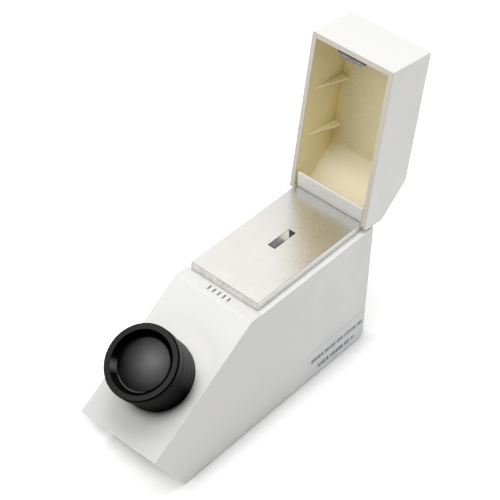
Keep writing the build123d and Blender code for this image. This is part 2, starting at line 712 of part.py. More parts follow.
def mirror_bracket():
    """Wedge on the base plate, cut back to the underside of the mirror."""
    wedge = wide(MIRROR_W / 2, MIRROR_Y - MIRROR_L / 2, MIRROR_Y + MIRROR_L / 2, BASE_T, MIRROR_Z)
    clear = MIRROR_PLANE * Pos(0, 0, -MIRROR_T) * Box(4 * MIRROR_W, 4 * MIRROR_L, MIRROR_L, align=MIN)
    return wedge - clear - wide(MIRROR_W / 2 - 3, 0, BODY_L, BASE_T + 2, BASE_T + 5)


# ---- lamp ------------------------------------------------------------------------------------------
def lamp_housing():
    """Tube aimed at the prism from behind, with a bracket to the back wall."""
    back = BODY_L - WALL
    arm = wide(LAMP_ARM_W / 2, BODY_L - LAMP_ARM_L, back, LAMP_ARM_Z0, LAMP_ARM_Z1)
    pad = wide(LAMP_PAD_W / 2, back - LAMP_END_T, back, LAMP_PAD_Z0, LAMP_PAD_Z1)
    body = rod(LAMP_PLANE, LAMP_R, LAMP_T0, LAMP_T1) + arm + pad
    return body - rod(LAMP_PLANE, LAMP_BORE_R, LAMP_T0 - 1, LAMP_T1 - LAMP_END_T)


def lamp_disc(t0, thickness):
    """A disc that fits the bore of the lamp housing."""
    return rod(LAMP_PLANE, LAMP_BORE_R - SLIP_FIT, t0, t0 + thickness)


def yellow_filter():
    return lamp_disc(LAMP_T0 + 0.4, FILTER_T)


def diffuser():
    return lamp_disc(LAMP_T0 + 1.4 + FILTER_T, FILTER_T)


def lamp_board():
    return lamp_disc(LAMP_T1 - 2 * LAMP_END_T, BOARD_T)


def led():
    base_h = LAMP_T1 - 2 * LAMP_END_T
    rim = rod(LAMP_PLANE, LED_RIM_R, base_h - 1, base_h)
    body = rod(LAMP_PLANE, LED_R, base_h - LED_L, base_h)
    return rim + body + LAMP_PLANE * Pos(0, 0, base_h - LED_L) * Sphere(LED_R)


# ---- battery ---------------------------------------------------------------------------------------
def battery_holder():
    """Tray, open below, over two cells side by side."""
    half_w = BAY_HALF_W + 0.2
    y0 = CELL_Y0 - 1.3 - TRAY_WALL
    y1 = BAY_Y1 - 0.3
    tray = wide(half_w, y0, y1, BASE_T, TRAY_TOP_Z)
    room_w = half_w - TRAY_WALL
    return tray - wide(room_w, y0 + TRAY_WALL, y1 - TRAY_WALL, BASE_T - 1, TRAY_TOP_Z - TRAY_WALL)


def battery_cells():
    cells = []
    for side in (-1, 1):
        start = Plane(origin=(side * CELL_X, CELL_Y0, CELL_Z), x_dir=(1, 0, 0), z_dir=(0, 1, 0))
        cell = rod(start, CELL_R, 0.0, CELL_L - CELL_CAP_T)
        cell = fillet(cell.edges(), CELL_ROUND)
        cell += rod(start, CELL_CAP_R, CELL_L - CELL_CAP_T - SINK_IN, CELL_L)
        if side > 0:
            cell = mirror(cell, about=Plane(origin=(0, CELL_Y0 + CELL_L / 2, 0), z_dir=(0, 1, 0)))
        cells.append(cell)
    return cells


def battery_contacts():
    half_w = CONTACT_W / 2
    front_y = CELL_Y0 - CONTACT_GAP
    back_y = CELL_Y0 + CELL_L + CONTACT_GAP
    front = wide(half_w, front_y - CONTACT_T, front_y, CONTACT_Z0, CONTACT_Z1)
    back = wide(half_w, back_y, back_y + CONTACT_T, CONTACT_Z0, CONTACT_Z1)
    return [front, back]


def battery_door():
    half_w = BAY_HALF_W - DOOR_GAP
    door = wide(half_w, BAY_Y0 + DOOR_GAP, BAY_Y1 - DOOR_GAP, DOOR_SINK, DOOR_SINK + DOOR_T)
    door = chamfer(door.faces().sort_by(Axis.Z)[0].edges(), BASE_BREAK)
    axis = upright(0, DOOR_SCREW_Y)
    door -= rod(axis, DOOR_SCREW_R + SLIP_FIT, 0, 2 * DOOR_T)
    return door - rod(axis, 2 * DOOR_SCREW_R, 0, DOOR_SCREW_SINK)


def door_screw():
    return screw(0, DOOR_SCREW_Y, DOOR_SCREW_SINK, BASE_T, DOOR_SCREW_R)


# ---- power switch ----------------------------------------------------------------------------------
def switch_bezel():
    half_w = SWITCH_W / 2
    half_h = SWITCH_H / 2
    frame = wide(half_w, BODY_L, BODY_L + SWITCH_FRAME, SWITCH_Z - half_h, SWITCH_Z + half_h)
    frame = fillet(frame.faces().sort_by(Axis.Y)[-1].edges(), SWITCH_ROUND)
    box_w = half_w - SWITCH_LIP
    box_h = half_h - SWITCH_LIP
    body = wide(box_w, BODY_L - SWITCH_DEPTH, BODY_L + 0.5, SWITCH_Z - box_h, SWITCH_Z + box_h)
    well_w = ROCKER_W / 2 + 0.3
    well_h = ROCKER_HALF_H + 0.5
    well = wide(well_w, BODY_L - SWITCH_WELL, BODY_L + SWITCH_WELL, SWITCH_Z - well_h, SWITCH_Z + well_h)
    pin_half_l = ROCKER_W / 2 + ROCKER_PIN_L + 0.2
    return frame + body - well - cross_rod(ROCKER_PIN_R + PIN_FIT, pin_half_l, ROCKER_PIVOT_Y, SWITCH_Z)


def rocker_outline():
    """A dished key, broad outside and narrow inside."""
    y = ROCKER_PIVOT_Y
    return profile([
        (y - 2.4, SWITCH_Z - 2.6),
        (y + 1.4, SWITCH_Z - ROCKER_HALF_H),
        (y + 3.4, SWITCH_Z - ROCKER_HALF_H + 0.4),
        (y + 2.7, SWITCH_Z),
        (y + 3.4, SWITCH_Z + ROCKER_HALF_H - 0.4),
        (y + 1.4, SWITCH_Z + ROCKER_HALF_H),
        (y - 2.4, SWITCH_Z + 2.6),
    ])


def switch_rocker():
    """Rocker in its off place, tilted about the cross pins moulded on its sides."""
    rocker = across(rocker_outline(), ROCKER_W / 2)
    rocker = fillet(rocker.edges().filter_by(Axis.X).group_by(Axis.Y)[-1], 0.3)
    rocker += cross_rod(ROCKER_PIN_R, ROCKER_W / 2 + ROCKER_PIN_L, ROCKER_PIVOT_Y, SWITCH_Z)
    return rocker.rotate(Axis((0, ROCKER_PIVOT_Y, SWITCH_Z), (1, 0, 0)), -ROCKER_TILT)


def rating_label():
    length = LABEL_Y1 - LABEL_Y0
    height = LABEL_Z1 - LABEL_Z0
    middle = (BODY_W / 2, LABEL_Y0 + length / 2, LABEL_Z0 + height / 2)
    face = Plane(origin=middle, x_dir=(0, 1, 0), z_dir=(1, 0, 0))
    inset = LABEL_HEEL_R / 2
    corner = Pos(length / 2 - inset, inset - height / 2) * Rectangle(LABEL_HEEL_R, LABEL_HEEL_R)
    corner -= Pos(length / 2 - LABEL_HEEL_R, LABEL_HEEL_R - height / 2) * Circle(LABEL_HEEL_R)
    sheet = RectangleRounded(length, height, LABEL_R) - corner
    return extrude(face * sheet, amount=LABEL_T)


FIXED = (
    housing, base_plate, base_screws, rubber_feet, battery_door, door_screw,
    stage_plate, stage_screws, prism, prism_cradle, cradle_screws, lid_keeper,
    hinge_block, hinge_block_screws, eyepiece_mount, eyepiece_lock_nut,
    optics_tube, scale_reticle, reticle_retainer, objective_lens, objective_retainer,
    tube_saddle, saddle_screws, fold_mirror, mirror_bracket,
    lamp_housing, yellow_filter, diffuser, lamp_board, led,
    battery_holder, battery_cells, battery_contacts,
    switch_bezel, switch_rocker, rating_label,
    focus_ring, lens_carrier, eye_lens, field_lens, lens_spacer, lens_retainer,
    polariser_ring, polariser_glass, polariser_retainer,
)
ON_LID = (lid_shell, lid_magnet, magnet_holder, hinge_pin)


def grouped(made):
    """One shape, or several loose ones kept as separate solids of one node."""
    return Compound(children=made) if isinstance(made, list) else made


def build():
    """All nodes by name, still in the layout frame."""
    nodes = {maker.__name__: grouped(maker()) for maker in FIXED}
    for maker in ON_LID:
        nodes[maker.__name__] = opened(maker())
    return nodes


def origin_y(nodes):
    """Middle of the whole object, nose to open lid."""
    front = nodes["housing"].bounding_box().min.Y
    back = nodes["lid_shell"].bounding_box().max.Y
    return (front + back) / 2


def place(nodes):
    """Move every node from the layout frame to the object's own origin."""
    shift = Pos(0, -origin_y(nodes), FOOT_GAP)
    return {name: shift * shape for name, shape in nodes.items()}


if __name__ == "__main__":
    os.makedirs("parts", exist_ok=True)
    parts = build()
    print("origin lies at layout y =", round(origin_y(parts), 4))
    for name, shape in place(parts).items():
        export_step(shape, f"parts/{name}.step")
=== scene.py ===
"""Looks of the bench refractometer: materials, printed marks, studio light and camera."""
import json
import math
import random

import bmesh
import bpy
from mathutils import Matrix, Vector

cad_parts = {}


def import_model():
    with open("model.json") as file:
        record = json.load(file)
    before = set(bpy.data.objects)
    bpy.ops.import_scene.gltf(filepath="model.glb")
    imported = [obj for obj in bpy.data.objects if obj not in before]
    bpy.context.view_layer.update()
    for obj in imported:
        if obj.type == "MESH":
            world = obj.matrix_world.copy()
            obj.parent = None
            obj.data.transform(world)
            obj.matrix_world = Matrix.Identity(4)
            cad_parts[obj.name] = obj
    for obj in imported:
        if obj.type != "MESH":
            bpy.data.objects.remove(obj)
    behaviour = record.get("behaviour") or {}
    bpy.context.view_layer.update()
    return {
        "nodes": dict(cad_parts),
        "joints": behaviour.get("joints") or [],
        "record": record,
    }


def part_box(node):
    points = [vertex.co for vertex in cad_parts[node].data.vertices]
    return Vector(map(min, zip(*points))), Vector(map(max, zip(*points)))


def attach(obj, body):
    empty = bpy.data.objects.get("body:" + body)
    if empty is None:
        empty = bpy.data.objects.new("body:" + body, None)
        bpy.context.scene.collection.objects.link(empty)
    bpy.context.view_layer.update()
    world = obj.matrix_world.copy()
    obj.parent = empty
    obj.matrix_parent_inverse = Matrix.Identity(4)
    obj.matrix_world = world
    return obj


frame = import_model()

MM = 0.001
NODES = frame["nodes"]
JOINTS = {joint["name"]: joint for joint in frame["joints"]}

# ---- camera: round the middle of the object, angles in degrees -----------------------------------
VIEW_AZIMUTH = 39.938
VIEW_ELEVATION = 42.663
VIEW_ROLL = 2.154
VIEW_DISTANCE = 0.837493
VIEW_AIM_FROM_STAGE = Vector((0.858, -22.095, 10.141)) * MM    # from the middle of the stage's top
VIEW_LENS = 123.51

# ---- studio: metres and watts; the surround's places are on its unit sphere ----------------------
TOP_LIGHT = {
    "place": (0.0, 0.0, 0.95),
    "aim": (0.0, 0.0, 0.05),
    "width": 0.60,
    "height": 0.50,
    "power": 4.6,
}
FRONT_LIGHT = {
    "place": (-0.10, -1.40, 1.25),
    "aim": (0.0, 0.0, 0.06),
    "width": 1.2,
    "height": 1.0,
    "power": 5.2,
}
SURROUND_HEIGHTS = (0.0, 0.75)
SURROUND_AT_HEIGHTS = (0.30, 0.92)     # strength at the two heights
SURROUND_SIDES = (-0.5, 0.8)
SURROUND_AT_SIDES = (1.12, 0.33)       # and its share at the two places sideways
FLOOR_HALF = 4.0

# ---- floor: a soft shade beside the base plate and under the nose --------------------------------
CONTACT_W = 13.0 * MM          # how far the shade reaches from the base plate
CONTACT_CURVE = 0.8
CONTACT_DEPTH = 0.82
CONTACT_FADE = 8.0 * MM        # it fades out over this stretch behind the foot of the nose
NOSE_SHADE_W = 10.5 * MM       # how far the shade under the nose reaches forward
NOSE_SHADE_CURVE = 1.2
NOSE_SHADE_BACK = 20.0 * MM    # and backward
NOSE_SHADE_LEFT = (-46.0 * MM, -8.0 * MM)    # fades in between these, from the case's left side
NOSE_SHADE_EASE = (-6.0 * MM, 5.0 * MM)      # and eases off between these, from there too
NOSE_SHADE_EASED = 0.58
NOSE_SHADE_RIGHT = 17.0 * MM   # ends this far right of the case
NOSE_SHADE_FULL_X = 2.0 * MM   # and is full at this place sideways
FLOOR_GLOW = 0.22
NOSE_LIFT = 0.09               # extra glow of the open floor below the overhanging nose
NOSE_LIFT_FROM = (4.0 * MM, 14.0 * MM)
NOSE_LIFT_TIP = (-6.0 * MM, 4.0 * MM)
NOSE_LIFT_SIDE = 5.0 * MM

# ---- case ----------------------------------------------------------------------------------------
SLOPE_SKIN = 0.5 * MM          # a point this close to the slope's plane lies on the slope
SIDE_SKIN = 0.1 * MM
SIDE_SHADE_SHARES = (0.75, 0.5)     # the side wall's painted shade deepens between these shares of its length
SLOPE_SHADE_UP = (-0.6, -2.2)       # the slope's painted shade deepens between these, in ring radii up-slope
SLOPE_LIT_WAY = (0.40, 0.917)      # every way is sideways and up-slope, from the eyepiece axis
SLOPE_LIT_SPREAD = (0.45, 0.97)
SLOPE_LIT_REACH = (10.0 * MM, 1.0 * MM)    # every reach starts and is full this far past the ring's edge
# painted shadow of the barrel on the slope below it
BARREL_SHADOW_WAY = (0.62, -0.785)
BARREL_SHADOW_SPREAD = (-0.05, 0.75)
BARREL_SHADOW_REACH = (8.0 * MM, -0.5 * MM)
BARREL_SHADOW_CURVE = 2.6
LEDGE_DROP = 0.5 * MM
FOOT_SKIN = 0.5 * MM

# ---- lid shell -----------------------------------------------------------------------------------
LID_WALL = 2.7 * MM
LID_SKIN = LID_WALL * 0.6      # deeper than this behind the outer faces counts as inside
LID_BEVEL_L = 18.1 * MM
LID_BACK_H = 14.9 * MM
LID_END_SKIN = 0.2 * MM
LID_RIM_H = 0.35 * MM
LID_WALL_BLEND = 2.0 * MM
# painted shade in the corner between wall and roof reaches this far
LID_CORNER_SHADE_REACH = 7.0 * MM
LID_FAR_SHARES = (0.55, 1.25)      # of the bevel's length: painted light below, painted shade beyond
LID_ROOF_SHARES = (-0.5, 0.8)      # of the half width: the roof's painted shade turns to painted light between these
# painted shade towards the lid's top, between these distances from its back wall and at most this deep
LID_TOP_FROM_BACK = (40.0 * MM, 94.0 * MM)
LID_TOP_SHADE_DEPTH = 0.5
RIB_PLACES = (33.1 * MM, 61.1 * MM)    # from the lid's back wall
RIB_T = 1.6 * MM               # painted light on a rib reaches this far to each side of its place
RIB_OFF_WALL = 0.1 * MM
RIB_OFF_ROOF = 0.4 * MM
LID_SPECK_DEPTH = 0.35

# ---- stage plate ---------------------------------------------------------------------------------
STAGE_FACE_SKIN = 0.05 * MM
STAGE_REAR_SHADE_L = 32.0 * MM       # painted shade: a cooler, darker tone sets in over this stretch at the rear
STAGE_CLOUD_DEPTH = 0.35
BREAK_W = 0.16 * MM            # broken front edge, given painted shade
BREAK_H = 0.2 * MM
BREAK_TOP = 0.01 * MM
# painted shade at the plate's foot, between these heights
STAGE_FOOT_SHADE_H = (0.6 * MM, 0.3 * MM)

# ---- eyepiece front ring, outwards from the slope ------------------------------------------------
RING_TOP = 23.2 * MM
RING_FOOT = 16.6 * MM
FOCUS_TOP = 16.3 * MM
FOCUS_FOOT = 2.7 * MM
RING_R = 19.44 * MM
MOUTH_R = 16.3 * MM
LENS_R = 13.6 * MM
FLANK_LEAN = 0.15              # how far sideways the flank's sheen leans, against up-slope
FLANK_LIT = (0.12, 0.95)       # the sheen grows between these shares of the ring's radius
FLANK_CURVE = 1.3
BAND_LEVELS = (0.65, 1.2)
END_SHEEN = 0.12               # share of the sheen that is left at a flank's ends
RING_ENDS = ((RING_TOP - 1.3 * MM, RING_TOP - 0.9 * MM), (RING_FOOT + 0.9 * MM, RING_FOOT + 0.5 * MM))
FOCUS_ENDS = ((FOCUS_TOP - 0.6 * MM, FOCUS_TOP - 0.3 * MM), (FOCUS_FOOT + 0.6 * MM, FOCUS_FOOT + 0.3 * MM))
FACE_FROM = (RING_TOP - 0.30 * MM, RING_TOP - 0.12 * MM)
FLANK_LINE_FROM = (RING_TOP - 1.7 * MM, RING_TOP - 1.2 * MM)
FACE_LINE_FROM = (RING_R - 0.55 * MM, RING_R - 0.32 * MM)
FACE_MOTTLE = (-0.12, 0.12)
GLINT_WAY = (-0.826, -0.564)
GLINT_SPREAD = (0.955, 1.0)
GLINT_CURVE = 2.5
# painted dim shine on the lower wall of the mouth
LOWER_SHINE_WAY = (-0.45, -0.89)
LOWER_SHINE_SPREAD = (0.6, 1.0)
LOWER_SHINE_DEPTH = 0.03
# painted shine at the retaining ring's foot
RETAINER_WAY = (-0.05, -0.999)
RETAINER_SPREAD = (0.66, 1.0)
RETAINER_PATCH_SPAN = (0.6, 1.0)
REFLECTION_SIDE = 0.26 * LENS_R     # middle of the painted reflection on the polarising glass
REFLECTION_UP = 0.27 * LENS_R
REFLECTION_REACH = (1.5 * LENS_R, 0.1 * LENS_R)    # starts and is full this far from that middle
REFLECTION_CURVE = 1.8
REFLECTION_MOTTLE = (-0.03, 0.03)

# ---- prism window: along is a share of its length from the front, sideways of its width ----------
WINDOW_L = 16.3 * MM
WINDOW_W = 4.7 * MM
FROST_END = 0.55
FROST_SLANT = 0.05
FROST_BLUR = (-0.06, 0.05)
FROST_FADE = (0.3, 0.62)
CLEAR_END = 1.0
CLEAR_SLANT = 0.32
CLEAR_BLUR = (-0.015, 0.015)
CLEAR_FADE = (0.55, 0.9)
WINDOW_RIM = (1.3 * MM, 0.7 * MM)
WINDOW_RIM_DEPTH = 0.85

# ---- noise patterns: repeats per metre, spans of values and relief -------------------------------
WIDE = (0.3, 0.7)              # these spans of a pattern's values are stretched to its full range
NARROW = (0.35, 0.65)
SHARP = (0.36, 0.64)
MOTTLING = 38.0
GLOSS_PATCHES = 160.0
GLOSS_SPREAD = 0.05
SKIN_GRAIN = 1400.0
SKIN_DEPTH = 0.012 * MM
METAL_GRAIN = 2600.0
METAL_DEPTH = 0.004 * MM
METAL_GLOSS_SPREAD = 0.06
METAL_GLOSS_SHARE = 0.6        # the gloss pattern is coarser than the grain by this share
PLATING_GRAIN = 1100.0
BLAST_GRAIN = 2300.0
BLAST_CLOUDS = 60.0
BLAST_GLOSS = (0.24, 0.38)
SMEARS = 260.0
SPECKS = 900.0
TURNED_BANDS = 420.0
TURNED_GLOSS = 900.0
FACE_PATCHES = 220.0
RETAINER_PATCHES = 500.0
RETAINER_GLOSS = (0.2, 0.3)
GLASS_PATCHES = 200.0
GLASS_GLOSS_PATCHES = 300.0
GLASS_GLOSS = (0.16, 0.22)
PRISM_GRAIN = 1500.0
PRISM_GLOSS = (0.10, 0.20)
CLEAR_PATCHES = 120.0
CLEAR_GLOSS_PATCHES = 400.0
PAPER_PATCHES = 3.0
EVEN = (1.0, 1.0, 1.0)         # stretch of a pattern along x, y and z
DRAWN_ACROSS = (0.1, 1.0, 1.0)
DRAWN_ALONG = (1.0, 0.2, 1.0)
DRAWN_UP = (1.0, 1.0, 0.15)
SMEARED_UP = (1.0, 1.0, 0.2)

# ---- colours, linear -----------------------------------------------------------------------------
FULL_WHITE = (1.0, 1.0, 1.0, 1.0)
WHITE = (0.715, 0.712, 0.695)
WHITE_SHADE = (0.68, 0.677, 0.66)
# painted shade on the side walls
SIDE_SHADED_WHITE = (0.665, 0.662, 0.647)
# painted light on the upper slope and painted shade towards the nose
SLOPE_UPPER_LIT = (0.74, 0.737, 0.718)
SLOPE_LOW_SHADE = (0.66, 0.658, 0.64)
SLOPE_LIT = (0.96, 0.955, 0.935)
# painted shadow of the barrel on the slope
BARREL_SHADOW_GREY = (0.10, 0.10, 0.098)
# painted light on the ledge by the stage
LEDGE_LIT_WHITE = (0.84, 0.837, 0.82)
LID_WHITE = (0.77, 0.765, 0.74)
LID_SHADE = (0.745, 0.74, 0.715)
# painted shade on the lid's far end face
LID_END_SHADE = (0.725, 0.722, 0.705)
# painted light and shade inside the lid on the cream plastic; the walls' shaded tone also colours the specks
CREAM_BEVEL_LIT = (0.90, 0.825, 0.67)
CREAM_ROOF_SHADE = (0.56, 0.50, 0.315)
CREAM_ROOF_LIT = (0.88, 0.79, 0.56)
CREAM_WALL_SHADE_AND_SPECKS = (0.85, 0.755, 0.455)
CREAM_TOP_SHADE = (0.50, 0.43, 0.25)
CREAM_WALL_LIT = (0.93, 0.84, 0.56)
CREAM_CORNER_SHADE = (0.74, 0.61, 0.28)
CREAM_RIB_LIT = (0.92, 0.84, 0.56)
RIM_BEIGE = (0.56, 0.525, 0.445)
STEEL = (0.93, 0.917, 0.88)
STEEL_SPARKLE = (0.86, 0.848, 0.815)
STEEL_CLOUD = (0.80, 0.79, 0.77)
# painted shade on the stage at its rear, flanks, broken front edge and foot
STEEL_REAR_SHADE = (0.73, 0.735, 0.745)
STEEL_FRONT = (0.88, 0.875, 0.855)
STEEL_SMEAR = (0.69, 0.685, 0.67)
STEEL_FLANK_SHADE = (0.70, 0.70, 0.685)
STEEL_BREAK_SHADE = (0.38, 0.38, 0.375)
STEEL_FOOT_SHADE = (0.42, 0.42, 0.415)
# painted shade darkens the flanks towards their foot; the sheens, glint and dim shine are painted light
FLANK_BLACK = (0.0012, 0.0012, 0.0012)
FLANK_TOP_LIT = (0.019, 0.019, 0.0185)
FLANK_SHEEN = (0.13, 0.13, 0.129)
FACE_BLACK = (0.026, 0.026, 0.0255)
FACE_SHEEN = (0.034, 0.034, 0.033)
LINE_BLACK = (0.002, 0.002, 0.002)
MOUTH_BLACK = (0.0010, 0.0010, 0.0010)
MOUTH_GLINT = (0.11, 0.11, 0.108)
DIM_SHINE = (0.10, 0.10, 0.098)
SATIN_BLACK = (0.012, 0.012, 0.012)
SATIN_SHADE = (0.018, 0.018, 0.019)
GLASS_BLACK = (0.0015, 0.0015, 0.0015)
# painted reflection on the polarising glass
GLASS_REFLECTION = (0.140, 0.140, 0.139)
FROST_DARK = (0.085, 0.085, 0.082)
FROST_DARK_GRAIN = (0.140, 0.140, 0.135)
FROST_PALE = (0.17, 0.17, 0.16)
FROST_PALE_GRAIN = (0.30, 0.30, 0.28)
# painted reflection in the prism's clear band
CLEAR_REFLECTION_DIM = (0.40, 0.39, 0.355)
CLEAR_REFLECTION_BRIGHT = (0.60, 0.585, 0.53)
PRISM_DARK = (0.012, 0.012, 0.011)
PRISM_RIM = (0.006, 0.006, 0.006)
PAPER = (0.94, 0.94, 0.94)
PAPER_PALE = (0.96, 0.96, 0.96)
PAPER_SHADE = (0.50, 0.50, 0.505)

# ---- printed bars on the label, whose dashes are in millimetres ----------------------------------
LABEL_ROWS = (        # height, start and end of each row as shares of the label
    (0.614, 0.050, 0.970),
    (0.240, 0.175, 0.830),
)
LABEL_SEED = 11
DASH_W = (0.40, 1.10)          # narrowest and widest
DASH_GAP = 0.55
WORD_GAP = 1.5
WORD_DASHES = (4, 9)
BAR_H = 2.6 * MM
BAR_T = 0.02 * MM


class Paint:
    """One procedural material: a Principled shader and the nodes that feed it."""

    def __init__(self, name, **sockets):
        self.material = bpy.data.materials.new(name)
        self.material.use_nodes = True
        self.tree = self.material.node_tree
        self.shader = self.tree.nodes["Principled BSDF"]
        self.where = self.add("TexCoord").outputs["Object"]
        for socket, value in sockets.items():
            self.shader.inputs[socket.replace("_", " ")].default_value = value

    def add(self, kind, **inputs):
        node = self.tree.nodes.new("ShaderNode" + kind)
        for name, value in inputs.items():
            self.feed(node.inputs[name.replace("_", " ")], value)
        return node

    def feed(self, socket, value):
        if isinstance(value, bpy.types.NodeSocket):
            self.tree.links.new(value, socket)
        else:
            socket.default_value = value

    def noise(self, scale, detail=2.0, stretch=None, where=None):
        where = where or self.where
        if stretch:
            where = self.add("Mapping", Vector=where, Scale=stretch).outputs[0]
        return self.add("TexNoise", Vector=where, Scale=scale, Detail=detail).outputs[0]

    def fit(self, value, low, high, to_low=0.0, to_high=1.0):
        node = self.tree.nodes.new("ShaderNodeMapRange")
        for index, number in enumerate((value, low, high, to_low, to_high)):
            self.feed(node.inputs[index], number)
        return node.outputs[0]

    def pattern(self, scale, detail=2.0, span=WIDE, to=(0.0, 1.0), stretch=None, where=None):
        """Noise, with a span of its values stretched between two levels."""
        return self.fit(self.noise(scale, detail, stretch, where), *span, *to)

    def math(self, operation, first, second=0.0):
        node = self.tree.nodes.new("ShaderNodeMath")
        node.operation = operation
        self.feed(node.inputs[0], first)
        self.feed(node.inputs[1], second)
        return node.outputs[0]

    def plus(self, first, second):
        return self.math("ADD", first, second)

    def minus(self, first, second):
        return self.math("SUBTRACT", first, second)

    def times(self, first, *others):
        for other in others:
            first = self.math("MULTIPLY", first, other)
        return first

    def least(self, first, *others):
        for other in others:
            first = self.math("MINIMUM", first, other)
        return first

    def power(self, value, exponent):
        return self.math("POWER", value, exponent)

    def under(self, value, limit):
        return self.math("LESS_THAN", value, limit)

    def over(self, value, limit):
        return self.math("GREATER_THAN", value, limit)

    def unsigned(self, value):
        return self.math("ABSOLUTE", value)

    def mix(self, factor, first, second):
        node = self.tree.nodes.new("ShaderNodeMix")
        node.data_type = "RGBA"
        self.feed(node.inputs[0], factor)
        self.feed(node.inputs[6], first if isinstance(first, bpy.types.NodeSocket) else (*first, 1.0))
        self.feed(node.inputs[7], second if isinstance(second, bpy.types.NodeSocket) else (*second, 1.0))
        return node.outputs[2]

    def axes(self, where=None):
        return self.add("SeparateXYZ", Vector=where or self.where).outputs

    def along(self, where, direction):
        node = self.add("VectorMath", Vector=where)
        node.operation = "DOT_PRODUCT"
        node.inputs[1].default_value = direction
        return node.outputs["Value"]

    def length(self, x, y):
        node = self.add("VectorMath", Vector=self.add("CombineXYZ", X=x, Y=y).outputs[0])
        node.operation = "LENGTH"
        return node.outputs["Value"]

    def painted(self):
        """The colour that feeds the shader so far."""
        return self.shader.inputs["Base Color"].links[0].from_socket

    def colour(self, socket):
        self.feed(self.shader.inputs["Base Color"], socket)

    def roughness(self, socket):
        self.feed(self.shader.inputs["Roughness"], socket)

    def bump(self, height, depth):
        node = self.add("Bump", Height=height, Distance=depth, Strength=1.0)
        self.feed(self.shader.inputs["Normal"], node.outputs[0])


class AroundEyepiece:
    """A shaded point's place round the eyepiece axis: sideways, up the slope and outwards from it."""

    def __init__(self, paint):
        joint = JOINTS["focus_turn"]
        outward = Vector(joint["axis"])
        from_axis = paint.add("VectorMath", Vector=paint.where)
        from_axis.operation = "SUBTRACT"
        from_axis.inputs[1].default_value = joint["pos_m"]
        offset = from_axis.outputs[0]
        self.paint = paint
        self.side = paint.along(offset, Vector((1.0, 0.0, 0.0)))
        self.up = paint.along(offset, Vector((0.0, outward.z, -outward.y)))
        self.out = paint.along(offset, outward)
        self.radius = paint.length(self.side, self.up)

    def towards(self, direction):
        """Cosine of the angle round the axis from a direction (sideways, up-slope)."""
        across = self.paint.times(self.side, direction[0])
        along = self.paint.times(self.up, direction[1])
        return self.paint.math("DIVIDE", self.paint.plus(across, along), self.radius)


# ---- plastics ------------------------------------------------------------------------------------
def moulded(name, colour, shade, rough, grain=SKIN_GRAIN, depth=SKIN_DEPTH):
    """Moulded or sprayed plastic: faint mottling, uneven gloss and a fine orange-peel skin."""
    paint = Paint(name)
    paint.colour(paint.mix(paint.pattern(MOTTLING, 4.0, NARROW), colour, shade))
    paint.roughness(paint.pattern(GLOSS_PATCHES, 3.0, to=(rough - GLOSS_SPREAD, rough + GLOSS_SPREAD)))
    paint.bump(paint.noise(grain), depth)
    return paint


def cast(name, colour, shade, rough):
    return moulded(name, colour, shade, rough).material


def side_painted_shade(paint, colour):
    """Painted shade on the side walls, deeper towards the nose."""
    x, y, _ = paint.axes()
    low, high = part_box("housing")
    on_side = paint.over(paint.unsigned(x), high.x - SIDE_SKIN)
    rear, front = (low.y + share * (high.y - low.y) for share in SIDE_SHADE_SHARES)
    return paint.mix(paint.times(on_side, paint.fit(y, rear, front)), colour, SIDE_SHADED_WHITE)


def slope_painted_light_and_shadow(paint, colour, around, on_slope):
    """Painted light on the slope above the eyepiece and the barrel's painted shadow in the corner below it.
    """
    far, near = SLOPE_LIT_REACH
    lit = paint.times(paint.fit(around.towards(SLOPE_LIT_WAY), *SLOPE_LIT_SPREAD),
                      paint.fit(around.radius, RING_R + far, RING_R + near))
    colour = paint.mix(paint.times(lit, on_slope), colour, SLOPE_LIT)
    # painted shadow of the barrel below it
    far, near = BARREL_SHADOW_REACH
    barrel_shadow = paint.times(paint.fit(around.towards(BARREL_SHADOW_WAY), *BARREL_SHADOW_SPREAD),
                       paint.power(paint.fit(around.radius, RING_R + far, RING_R + near), BARREL_SHADOW_CURVE))
    return paint.mix(paint.times(barrel_shadow, on_slope), colour, BARREL_SHADOW_GREY)


def white_housing():
    """Case plastic with painted light and shade: the slope is painted lighter above and shaded towards the
    nose, the side walls are shaded towards the nose, and the ledge by the stage is painted palest.
    """
    paint = moulded("white_satin_plastic", WHITE, WHITE_SHADE, 0.40)
    around = AroundEyepiece(paint)
    on_slope = paint.under(paint.unsigned(around.out), SLOPE_SKIN)
    # painted light on the upper slope, painted shade towards the nose
    upper, lower = (share * RING_R for share in SLOPE_SHADE_UP)
    slope = paint.mix(paint.fit(around.up, upper, lower), SLOPE_UPPER_LIT, SLOPE_LOW_SHADE)
    colour = side_painted_shade(paint, paint.mix(on_slope, paint.painted(), slope))
    colour = slope_painted_light_and_shadow(paint, colour, around, on_slope)
    # painted light: the ledge by the stage is painted palest
    x, y, z = paint.axes()
    low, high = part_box("stage_plate")
    ledge = paint.times(paint.over(paint.unsigned(x), high.x), paint.over(z, low.z - LEDGE_DROP),
                        paint.over(y, low.y))
    paint.colour(paint.mix(ledge, colour, LEDGE_LIT_WHITE))
    return paint.material


# ---- lid -----------------------------------------------------------------------------------------
def lid_closed_place(paint):
    """The point's place in the closed lid, found by turning it back round the hinge."""
    joint = JOINTS["lid_hinge"]
    turn = paint.tree.nodes.new("ShaderNodeVectorRotate")
    turn.rotation_type = "X_AXIS"
    paint.feed(turn.inputs["Vector"], paint.where)
    turn.inputs["Center"].default_value = joint["pos_m"]
    turn.inputs["Angle"].default_value = math.radians(joint["range_deg"][1])
    return paint.axes(turn.outputs[0])


def closed_lid_box():
    """Closed lid, y and z limits, from its mesh turned back round the hinge."""
    joint = JOINTS["lid_hinge"]
    pivot = Vector(joint["pos_m"])
    turn = Matrix.Rotation(math.radians(joint["range_deg"][1]), 4, "X")
    spots = [turn @ (vertex.co - pivot) + pivot for vertex in NODES["lid_shell"].data.vertices]
    ys = [spot.y for spot in spots]
    zs = [spot.z for spot in spots]
    return min(ys), max(ys), min(zs), max(zs)


